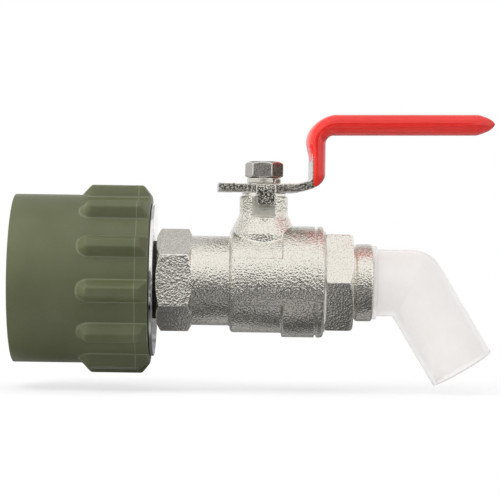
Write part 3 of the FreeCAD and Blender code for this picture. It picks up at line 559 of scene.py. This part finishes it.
@dataclass
class TankNut:
    """The ribbed plastic nut with its coarse inside thread. Lengths are in millimetres.

    Widths round the nut are measured on the circle of radius rib_circle.
    """

    mouth: float = -3.0
    end: float = 52.3
    radius: float = 34.1
    rib_count: int = 12
    rib_phase_deg: float = -7.1
    rib_rise: float = 4.2
    rib_start: float = 24.2
    rib_ramp: float = 3.8
    rib_base: float = 4.9
    rib_crest: float = 1.8
    rib_end_slope: float = 3.2
    rib_circle: float = 36.0
    # Heights above the collar that bound the painted highlight line at the ribs' feet.
    foot_start: float = 0.1
    foot_top: float = 0.65
    foot_fade: float = 0.3
    thread_crest: float = 27.3
    thread_root: float = 30.25
    pitch: float = 6.0
    thread_start: float = -6.6
    thread_end: float = 33.0
    groove_half: float = 1.2
    thread_flank: float = 0.7
    mouth_slope: float = 1.34
    bore: float = 22.1
    wall: float = 45.7

    def angles(self) -> np.ndarray:
        """Angles about the pipe, denser on the ribs' flanks, from the first rib's middle."""
        half = np.array([0.4, 0.9, 1.2, 1.45, 1.65, 1.85, 2.05, 2.3, 2.8, 3.5, 4.1, 4.4, 4.6,
                         4.75, 4.9, 5.05, 5.25, 5.7, 6.8, 8.4])
        offsets = np.concatenate([-half[::-1], half]) / self.rib_circle
        middles = self.first_rib() + np.arange(self.rib_count)[:, None] * self.sector()
        return (middles + offsets).reshape(-1)

    def sector(self) -> float:
        """The angle from rib to rib."""
        return 2.0 * math.pi / self.rib_count

    def first_rib(self) -> float:
        """The first rib's angle, from +Y towards +Z."""
        return math.pi - math.radians(self.rib_phase_deg)

    def rib_height(self, x: np.ndarray, angle: np.ndarray) -> np.ndarray:
        """Height of the ribs above the collar.

        Formula: the distance into a rounded rectangle in the unrolled plan, times the
        flank's slope, held between 0 and the rise, and cut by the end's slope.

        Args:
            x: Stations along the pipe.
            angle: Angles about the pipe.

        Returns:
            The height at each station and angle.
        """
        half = self.sector() / 2.0
        across = np.abs((angle - self.first_rib() + half) % (2.0 * half) - half)
        across = across * self.rib_circle
        flank = self.rib_base - self.rib_crest
        into = (x - self.rib_start) * flank / self.rib_ramp
        corner = self.rib_base * 0.85
        side, front = across - (self.rib_base - corner), corner - into
        outside = np.hypot(np.maximum(side, 0.0), np.maximum(front, 0.0))
        depth = corner - outside - np.minimum(np.maximum(side, front), 0.0)
        height = smooth_max(depth * self.rib_rise / flank, 0.0, 0.3)
        height = smooth_min(height, self.rib_rise, 0.6)
        ending = (self.end - x) * self.rib_rise / self.rib_end_slope
        return np.maximum(smooth_min(height, ending, 0.8), 0.0)

    def foot(self) -> np.ndarray:
        """Mask of a painted highlight line: 1 at a rib's foot, where its height starts, and 0 away
        from it, for each point.
        """
        station, _, kind = (part[:, None] for part in self.outline())
        height = self.rib_height(station, self.angles()[None, :])
        above = np.clip(height / self.foot_start, 0.0, 1.0)
        below = np.clip((self.foot_top - height) / self.foot_fade, 0.0, 1.0)
        return np.where(kind == 1, above * below, 0.0)

    def thread_radius(self, x: np.ndarray, angle: np.ndarray) -> np.ndarray:
        """Radius of the inside thread.

        Formula: a trapezoid wave of the distance from the groove's middle, which moves
        along the pipe by one pitch a turn, opened by a cone at the mouth.

        Args:
            x: Stations along the pipe.
            angle: Angles about the pipe.

        Returns:
            The radius at each station and angle.
        """
        turn = (angle + math.pi / 2.0) / (2.0 * math.pi)
        phase = (x - self.thread_start) / self.pitch - turn
        off = np.abs((phase + 0.5) % 1.0 - 0.5) * self.pitch
        depth = self.thread_root - self.thread_crest
        wave = (self.groove_half - off) / self.thread_flank * depth
        radius = self.thread_crest + smooth_min(smooth_max(wave, 0.0, 0.25), depth, 0.25)
        cone = self.thread_root + 0.4 - (x - self.mouth) * self.mouth_slope
        return smooth_max(radius, cone, 0.2)

    def outline(self) -> Tuple[np.ndarray, np.ndarray, np.ndarray]:
        """The section's closed outline.

        Returns:
            Stations, plain radii, and a kind for each: 0 plain, 1 ribbed, 2 threaded.
        """
        m, r, e = self.mouth, self.radius, self.end
        face = [(m, 32.0, 0), (m, r - 0.35, 0), (m + 0.04, r - 0.2, 0), (m + 0.13, r - 0.07, 0),
                (m + 0.3, r, 0), (m + 8.0, r, 0), (m + 18.0, r, 0)]
        stations = np.concatenate([np.arange(23.4, 29.2, 0.38), [31.0, 36.0, 41.0, 46.0, 48.0],
                                   np.arange(48.4, 52.2, 0.34)])
        ribbed = [(float(x), r, 1) for x in stations]
        back = [(e - 0.1, r - 0.03, 0), (e, r - 0.16, 0), (e, 30.0, 0), (e, 26.0, 0),
                (e, self.bore + 0.2, 0), (e - 0.2, self.bore, 0), (self.wall, self.bore, 0),
                (self.wall, 26.0, 0), (self.wall, self.thread_root - 0.4, 0),
                (self.wall - 0.5, self.thread_root + 0.15, 0),
                (self.thread_end + 0.1, self.thread_root + 0.15, 0)]
        threaded = [(float(x), 0.0, 2) for x in np.arange(self.thread_end, m + 0.05, -0.42)]
        points = np.array(face + ribbed + back + threaded + [(m, 0.0, 2)])
        return points[:, 0], points[:, 1], points[:, 2]

    def surface(self) -> np.ndarray:
        """The nut as rings of points: a radius for each station of the outline and angle."""
        station, plain, kind = (part[:, None] for part in self.outline())
        angle = self.angles()[None, :]
        ribs = plain + self.rib_height(station, angle)
        radius = np.where(kind == 1, ribs, plain)
        radius = np.where(kind == 2, self.thread_radius(station, angle), radius)
        x = np.broadcast_to(station, radius.shape)
        return np.stack([x, radius * np.cos(angle), radius * np.sin(angle)], axis=-1) * MM

    def build(self, material: bpy.types.Material) -> None:
        """Makes the nut in place of its construction node."""
        nut = ring_surface("TankNut", self.surface(), True, 50.0)
        # The foot attribute carries the mask of the painted highlight line at the ribs' feet.
        foot = nut.data.attributes.new("foot", "FLOAT", "POINT")
        foot.data.foreach_set("value", self.foot().reshape(-1).astype(np.float32))
        place_piece(nut, "nut", "coupling_nut", material)


@dataclass
class VinylGrip:
    """The red sleeve on the lever's arm. Lengths are in millimetres, in the lever's frame.

    The sleeve is thin on the outside of the arm below bare_top. Its ends are pinched to
    shares of its thickness and width.
    """

    turn_deg: float = 3.5
    arm: float = 20.5
    top: float = 63.9
    bend: float = 8.0
    bend_thin: float = 0.7
    rise_per_length: float = 1.2 / 67.2
    toe: float = 38.6
    foot: float = 43.6
    bare_top: float = 54.0
    bare_fade: float = 15.0
    bare_half: float = 1.6
    tip_start: float = 86.8
    tip: float = 93.1
    half_thick: float = 4.2
    half_wide: float = 10.3
    toe_thick: float = 0.12
    toe_wide: float = 0.9
    tip_thick: float = 0.06
    tip_wide: float = 0.72
    oval_power: float = 2.7

    def line(self) -> Tuple[np.ndarray, np.ndarray, np.ndarray]:
        """The sleeve's middle line: up the arm, round the bend, and out to the tip.

        Returns:
            Points (along, up), outward directions at each, and the length up to each.
        """
        slope = math.atan(self.rise_per_length)
        up = np.concatenate([np.linspace(self.toe, self.foot, 16),
                             np.linspace(self.foot + 0.8, self.top - self.bend - 0.5, 26)])
        rising = np.stack([np.full_like(up, self.arm), up], axis=-1)
        turn = np.linspace(0.0, math.pi / 2.0 - slope, 22)
        middle = np.array([self.arm + self.bend, self.top - self.bend])
        outward = np.stack([-np.cos(turn), np.sin(turn)], axis=-1)
        bent = middle + outward * self.bend
        along = np.concatenate([np.linspace(self.arm + self.bend + 2.0, self.tip_start, 18),
                                self.tip - (self.tip - self.tip_start - 0.3)
                                * np.linspace(1.0, 0.0, 22) ** 2])
        start = bent[-1]
        level = np.stack([along, start[1] + (along - start[0]) * self.rise_per_length], axis=-1)
        points = np.concatenate([rising, bent, level])
        first = np.tile([-1.0, 0.0], (len(rising), 1))
        last = np.tile(outward[-1], (len(level), 1))
        normals = np.concatenate([first, outward, last])
        steps = np.linalg.norm(np.diff(points, axis=0), axis=1)
        return points, normals, np.concatenate([[0.0], np.cumsum(steps)])

    def surface(self) -> np.ndarray:
        """The sleeve as rings: a flat oval carried along the line, pinched at both ends."""
        points, normals, length = self.line()
        pinch = np.clip(length / (self.foot - self.toe), 0.0, 1.0)
        close = np.clip((length[-1] - length) / (self.tip - self.tip_start), 0.0, 1.0)
        toe, end = np.sin(pinch * math.pi / 2.0), np.sin(close * math.pi / 2.0)
        thick = self.half_thick * (self.toe_thick + (1.0 - self.toe_thick) * toe ** 0.75)
        thick = thick * (self.tip_thick + (1.0 - self.tip_thick) * close ** 0.42)
        wide = self.half_wide * (self.tip_wide + (1.0 - self.tip_wide) * end)
        wide = wide * (self.toe_wide + (1.0 - self.toe_wide) * toe)
        bent = np.clip(normals[:, 1], 0.0, 1.0) * np.clip(-normals[:, 0], 0.0, 1.0) * 2.0
        bare = np.clip((self.bare_top - points[:, 1]) / self.bare_fade + 0.5, 0.0, 1.0)
        bare = bare * bare * (3.0 - 2.0 * bare)
        outer = thick - self.bend_thin * bent
        outer = outer + (np.minimum(outer, self.bare_half) - outer) * bare
        angle = np.linspace(0.0, 2.0 * math.pi, 56, endpoint=False)
        power = 2.0 / self.oval_power
        out = np.sign(np.cos(angle)) * np.abs(np.cos(angle)) ** power
        side = np.sign(np.sin(angle)) * np.abs(np.sin(angle)) ** power
        reach = np.where(out > 0.0, outer[:, None], thick[:, None]) * out
        plane = points[:, None, :] + normals[:, None, :] * reach[..., None]
        depth = wide[:, None] * side
        return self.turned(plane[..., 0], depth, plane[..., 1])

    def turned(self, along: np.ndarray, depth: np.ndarray, up: np.ndarray) -> np.ndarray:
        """Turns points of the lever's frame about the stem to the open position, in metres."""
        c, s = math.cos(math.radians(self.turn_deg)), math.sin(math.radians(self.turn_deg))
        x = STEM_X + along * c - depth * s
        y = along * s + depth * c
        return np.stack([x, y, up], axis=-1) * MM

    def build(self, material: bpy.types.Material) -> None:
        """Makes the grip in place of its construction node."""
        grip = ring_surface("VinylGrip", self.surface(), False, 60.0)
        place_piece(grip, "lever", "lever_grip", material)


@dataclass
class SplitWasher:
    """The split spring washer under the lever nut. Lengths are in millimetres."""

    outer: float = 6.9
    inner: float = 4.2
    bottom: float = 39.6
    top: float = 41.8
    lift: float = 0.35
    gap_deg: float = -55.0
    gap: float = 0.8
    slant: float = 0.054
    near: float = 0.2
    far: float = 0.5

    def surface(self) -> np.ndarray:
        """A rectangle, with points near its corners, carried once round the rising washer."""
        near, far = self.near, self.far
        wide, thick = self.outer - self.inner, self.top - self.bottom - self.lift
        u, v = np.array([
            (0.0, far), (0.0, near), (0.0, 0.0), (near, 0.0), (far, 0.0), (wide - far, 0.0),
            (wide - near, 0.0), (wide, 0.0), (wide, near), (wide, far), (wide, thick),
            (wide - near, thick), (wide - far, thick), (far, thick), (near, thick),
            (0.0, thick)]).T
        half = self.gap / 2.0 / self.outer
        share = np.linspace(0.0, 1.0, 72)[:, None]
        middle = math.radians(self.gap_deg)
        angle = middle + half + share * (2.0 * math.pi - 2.0 * half)
        ends = np.cos(share * math.pi) ** 9
        angle = angle + (v[None, :] - thick / 2.0) * self.slant * ends
        radius = self.inner + u[None, :]
        z = self.bottom + self.lift * share + v[None, :]
        x = STEM_X + radius * np.cos(angle)
        return np.stack([x, radius * np.sin(angle), z], axis=-1) * MM

    def build(self, material: bpy.types.Material) -> None:
        """Makes the washer in place of its construction node."""
        washer = ring_surface("SplitWasher", self.surface(), False, 30.0)
        place_piece(washer, "lever", "spring_washer", material)


@dataclass
class SpoutTube:
    """The milky spout: spigot, flange, and a tube with one bend. Lengths are in millimetres."""

    flange: float = 142.1
    bend: float = SPOUT_BEND
    angle_deg: float = SPOUT_ANGLE_DEG
    leg: float = SPOUT_LEG
    outer: float = 13.6
    inner: float = 11.6
    spigot: float = 12.1
    spigot_bore: float = 9.4
    spigot_length: float = 17.5
    flange_radius: float = 14.9
    flange_thick: float = 1.6
    crotch: float = 0.5
    seal_places: Tuple[float, float] = (4.5, 9.0)
    seal_half: float = 1.0
    seal_floor: float = 10.35
    clip_place: float = 13.5
    clip_half: float = 0.9
    clip_floor: float = 11.5
    leg_places: Tuple[float, float, float] = (14.0, 22.0, 31.0)
    rim: float = 0.35

    def groove(self, middle: float, half: float, floor: float) -> List[Tuple[float, float]]:
        """A square groove in the spigot, as (station, radius) points."""
        low, high = middle - half, middle + half
        return [(low, self.spigot), (low + 0.02, floor), (high - 0.02, floor),
                (high, self.spigot)]

    def straight(self) -> List[Tuple[float, float]]:
        """Outside of the spigot and flange as (station, radius), from the inlet end."""
        s = self.flange
        start = s - self.spigot_length
        points = [(start, self.spigot - 0.6), (start + 0.2, self.spigot - 0.2),
                  (start + 0.6, self.spigot)]
        for place in self.seal_places:
            points += self.groove(start + place, self.seal_half, self.seal_floor)
        points += self.groove(start + self.clip_place, self.clip_half, self.clip_floor)
        points += [(s, self.spigot), (s + 0.01, self.flange_radius - 0.15),
                   (s + 0.15, self.flange_radius)]
        end = s + self.flange_thick
        points += [(end - 0.35, self.flange_radius), (end - 0.1, self.flange_radius - 0.1),
                   (end, self.flange_radius - 0.35), (end + 0.02, self.outer + 0.35),
                   (end + 0.1, self.outer + 0.1), (end + 0.4, self.outer)]
        return points

    def bent_rings(self, radius: float, angle: np.ndarray) -> List[np.ndarray]:
        """Rings round the bend and down the leg.

        Formula: each line along the tube is an arc tangent to both runs. On the outside its
        radius is the line's own height above the bend, which draws a ball; on the inside it
        is the small radius of the crotch.

        Args:
            radius: The tube's radius.
            angle: Angles about the tube, 0 on the bend's outside.

        Returns:
            The rings, each of shape (points, 3), from the bend's start to its end.
        """
        half = math.radians(self.angle_deg) / 2.0
        height = radius * np.cos(angle)
        arc = smooth_max(height, self.crotch, self.crotch)
        offset = (height - arc) / math.cos(half)
        rings = []
        for beta in np.linspace(0.0, 2.0 * half, 20):
            x = self.bend + offset * math.sin(half) + arc * math.sin(beta)
            z = offset * math.cos(half) + arc * math.cos(beta)
            rings.append(np.stack([x, radius * np.sin(angle), z], axis=-1))
        return rings

    def leg_ring(self, distance: float, radius: float, angle: np.ndarray) -> np.ndarray:
        """A ring across the leg at a distance from the bend."""
        down = math.radians(self.angle_deg)
        height = radius * np.cos(angle)
        x = self.bend + distance * math.cos(down) + height * math.sin(down)
        z = -distance * math.sin(down) + height * math.cos(down)
        return np.stack([x, radius * np.sin(angle), z], axis=-1)

    def surface(self) -> np.ndarray:
        """The spout as rings: outside from inlet to outlet, round the rim, and back inside."""
        angle = np.linspace(0.0, 2.0 * math.pi, 96, endpoint=False)
        circle = np.stack([np.cos(angle), np.sin(angle)])

        def straight_ring(x: float, r: float) -> np.ndarray:
            return np.stack([np.full_like(angle, x), r * circle[1], r * circle[0]], axis=-1)

        rings = [straight_ring(x, r) for x, r in self.straight()]
        rings.append(straight_ring(self.flange + 4.5, self.outer))
        rings += self.bent_rings(self.outer, angle)
        rings += [self.leg_ring(d, self.outer, angle) for d in self.leg_places]
        wall = self.outer - self.inner
        for share in np.linspace(0.0, 1.0, 7):
            out = math.sin(share * math.pi) ** 0.5
            r = self.outer - wall * (0.5 - 0.5 * math.cos(share * math.pi))
            rings.append(self.leg_ring(self.leg - self.rim + self.rim * out, r, angle))
        rings += [self.leg_ring(d, self.inner, angle) for d in self.leg_places[::-1]]
        rings += self.bent_rings(self.inner, angle)[::-1]
        rings.append(straight_ring(self.flange + self.flange_thick + 1.0, self.inner))
        rings.append(straight_ring(self.flange, self.spigot_bore))
        rings.append(straight_ring(self.flange - self.spigot_length, self.spigot_bore))
        return np.stack(rings) * MM

    def build(self, material: bpy.types.Material) -> None:
        """Makes the spout in place of its construction node."""
        spout = ring_surface("SpoutTube", self.surface(), True, 45.0)
        place_piece(spout, "spout", "spout_elbow", material)


@dataclass
class MetalWork:
    """The plated construction nodes and their finishes."""

    cast: Sequence[str] = ("valve_body", "end_connector", "tail_piece")
    turned: Sequence[str] = ("ball", "stem", "packing_gland")
    pressed: Sequence[str] = ("lever",)
    smooth: Sequence[str] = ("lever_nut", "spout_clip")

    def dress(self) -> None:
        """Gives each plated node its finish."""
        cast = Plating("cast_plating", Surface.CAST).material()
        turned = Plating("turned_plating", Surface.TURNED, depth=0.03, roughness=0.16,
                         rounding=0.3).material()
        # The pressed plating's near-black darker tone is painted shade in the grain's hollows.
        pressed = Plating("pressed_plating", Surface.PRESSED, tone=(0.8, 0.76, 0.68),
                          dull_and_shade=(0.05, 0.045, 0.035), grain=0.38, depth=0.22, edge=1.0,
                          rounding=1.0).material()
        smooth = Plating("smooth_plating", Surface.SMOOTH, tone=(0.42, 0.4, 0.375), depth=0.05,
                         roughness=0.24, edge=0.9, rounding=0.9).material()
        disc = Plating("bright_plating", Surface.TURNED, tone=(0.86, 0.86, 0.85), depth=0.02,
                       roughness=0.1, rounding=0.3).material()
        for nodes, material in ((self.cast, cast), (self.turned, turned), (self.smooth, smooth),
                                (self.pressed, pressed), (("cover_disc",), disc)):
            for node in nodes:
                dress_node(node, material)


@dataclass
class Seals:
    """The rubber and slippery plastic rings."""

    black: Sequence[str] = ("tank_gasket", "neck_seal", "stem_o_ring", "spout_o_rings")
    white: Sequence[str] = ("inlet_seat", "outlet_seat", "stem_thrust_washer", "stem_packing",
                            "connector_seal")

    def dress(self) -> None:
        """Gives each seal its finish."""
        rubber = SoftSeal("black_rubber", (0.012, 0.012, 0.012), (0.03, 0.03, 0.029), 0.5)
        slippery = SoftSeal("white_ptfe", (0.82, 0.82, 0.80), (0.74, 0.74, 0.72), 0.4)
        for nodes, finish in ((self.black, rubber), (self.white, slippery)):
            material = finish.material()
            for node in nodes:
                dress_node(node, material)


# Studio

MIDDLE_X = 0.09
FLOOR_Z = -0.0445
TABLE_Z = FLOOR_Z + 0.001
AIM = (MIDDLE_X, 0.0, 0.01)
Place = Tuple[float, float, float]


def sheet(name: str, centre: Place, right: Place, up: Place) -> bpy.types.Object:
    """Makes a flat rectangle of the scene.

    Args:
        name: Name of the object and its mesh.
        centre: Its centre, in metres.
        right: Half of one side, as a vector.
        up: Half of the other side, as a vector.

    Returns:
        The new object.
    """
    middle, across, along = Vector(centre), Vector(right), Vector(up)
    corners = [middle - across - along, middle + across - along, middle + across + along,
               middle - across + along]
    mesh = bpy.data.meshes.new(name)
    mesh.from_pydata([tuple(c) for c in corners], [], [(0, 1, 2, 3)])
    obj = bpy.data.objects.new(name, mesh)
    bpy.context.scene.collection.objects.link(obj)
    return obj


@dataclass(frozen=True)
class Card:
    """A card that only shows in the gloss. Lengths are in metres, its blotches' in millimetres."""

    name: str
    centre: Place
    right: Place
    up: Place
    dark: float
    pale: float
    blotch: float = 45.0

    def build(self) -> None:
        """Makes the card, blotched between its two shades and hidden from all but gloss."""
        card = sheet(self.name, self.centre, self.right, self.up)
        g = Graph(self.name.lower())
        blotch = g.noise(self.blotch, 1.0).step(0.46, 0.56)
        shade = g.mix(blotch, (self.dark,) * 3, (self.pale,) * 3)
        g.show(g.node("Emission", {}, {"Color": shade, "Strength": 1.0}))
        card.data.materials.append(g.material)
        for ray in ("camera", "diffuse", "shadow", "transmission", "volume_scatter"):
            setattr(card, f"visible_{ray}", False)


@dataclass(frozen=True)
class Lamp:
    """A square soft lamp, hidden from the gloss. Lengths are in metres, the power in watts."""

    name: str
    place: Place
    size: float
    power: float

    def build(self) -> None:
        """Makes the lamp and points it at the valve."""
        data = bpy.data.lights.new(self.name, "AREA")
        data.shape = "SQUARE"
        data.size = self.size
        data.energy = self.power
        lamp = bpy.data.objects.new(self.name, data)
        lamp.visible_glossy = False
        bpy.context.scene.collection.objects.link(lamp)
        place = Vector(self.place)
        turn = (Vector(AIM) - place).to_track_quat("-Z", "Y").to_matrix().to_4x4()
        lamp.matrix_world = Matrix.Translation(place) @ turn


@dataclass
class Studio:
    """Camera, backdrop, floor, cards and lamps. Lengths are in metres."""

    middle: Tuple[float, float] = (0.0923, 0.0126)
    distance: float = 0.87
    view_width: float = 0.2033
    roll_deg: float = 0.83
    backdrop_light: float = 0.5
    cards: Sequence[Card] = (
        Card("FrontCard", (MIDDLE_X, -1.25, 0.12), (0.38, 0.0, 0.0), (0.0, 0.0, 0.2),
             0.002, 0.28),
        Card("DarkTable", (MIDDLE_X, -0.66, TABLE_Z), (0.5, 0.0, 0.0), (0.0, 0.6, 0.0),
             0.003, 0.48),
        Card("PaleTable", (MIDDLE_X, 0.57, TABLE_Z), (1.4, 0.0, 0.0), (0.0, 0.63, 0.0),
             0.1, 0.42),
        Card("Ceiling", (MIDDLE_X, 0.95, 0.9), (1.4, 0.0, 0.0), (0.0, 0.8, 0.0), 0.4, 0.75))
    lamps: Sequence[Lamp] = (
        Lamp("KeyLamp", (-0.35, -0.6, 1.0), 0.7, 8.0),
        Lamp("TopLamp", (0.25, 0.15, 1.1), 0.8, 4.0),
        Lamp("SideLamp", (-1.1, -0.1, 0.12), 0.35, 8.0))

    def camera(self) -> None:
        """A camera that looks level along +Y, rolled as the photograph is."""
        data = bpy.data.cameras.new("Camera")
        data.sensor_width = 36.0
        data.lens = data.sensor_width * self.distance / self.view_width
        data.clip_start = 0.05
        data.clip_end = 20.0
        obj = bpy.data.objects.new("Camera", data)
        bpy.context.scene.collection.objects.link(obj)
        level = Matrix.Rotation(math.pi / 2.0, 4, "X")
        roll = Matrix.Rotation(math.radians(self.roll_deg), 4, "Z")
        x, z = self.middle
        obj.matrix_world = Matrix.Translation(Vector((x, -self.distance, z))) @ level @ roll
        bpy.context.scene.camera = obj

    def world(self) -> None:
        """A white backdrop to camera, gloss and glass, and plain light on everything else."""
        world = bpy.data.worlds.new("Backdrop")
        bpy.context.scene.world = world
        tree = NodeTree(world, "OutputWorld")
        light = tree.node("Background", {}, {"Color": WHITE, "Strength": self.backdrop_light})
        white = tree.node("Background", {}, {"Color": WHITE})
        inputs = {0: tree.seen(), 1: light.outputs[0], 2: white.outputs[0]}
        tree.show(tree.node("MixShader", {}, inputs))

    def ground(self) -> None:
        """A plain pale floor that fades into the backdrop and keeps the shadow."""
        floor = sheet("Floor", (MIDDLE_X, 0.0, FLOOR_Z), (6.0, 0.0, 0.0), (0.0, 6.0, 0.0))
        g = Graph("pale_floor")
        lit = g.node("BsdfDiffuse", {}, {"Color": (0.92, 0.92, 0.92, 1.0)})
        white = g.node("Emission", {}, {"Color": WHITE, "Strength": 1.0})
        away = g.node("VectorMath", {"operation": "LENGTH"}, {0: g.mm})
        far = Signal(g, away.outputs["Value"]).step(150.0, 420.0)
        share = g.seen() * (0.7 + far * 0.3)
        g.show(g.node("MixShader", {}, {0: share, 1: lit.outputs[0], 2: white.outputs[0]}))
        floor.data.materials.append(g.material)

    def build(self) -> None:
        """Sets up everything round the valve."""
        self.camera()
        self.world()
        self.ground()
        for item in (*self.cards, *self.lamps):
            item.build()


def main() -> None:
    """Builds the studio and every piece."""
    logging.basicConfig(level=logging.INFO, format="%(name)s %(message)s")
    view = bpy.context.scene.view_settings
    view.view_transform = "Standard"
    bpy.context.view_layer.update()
    Studio().build()
    MetalWork().dress()
    Seals().dress()
    TankNut().build(OlivePlastic().material())
    VinylGrip().build(RedVinyl().material())
    SplitWasher().build(Plating("washer_plating", Surface.SMOOTH, tone=(0.7, 0.67, 0.6),
                                depth=0.1, roughness=0.3, rounding=0.4).material())
    SpoutTube().build(MilkyPlastic().material())


if __name__ == "__main__":
    main()
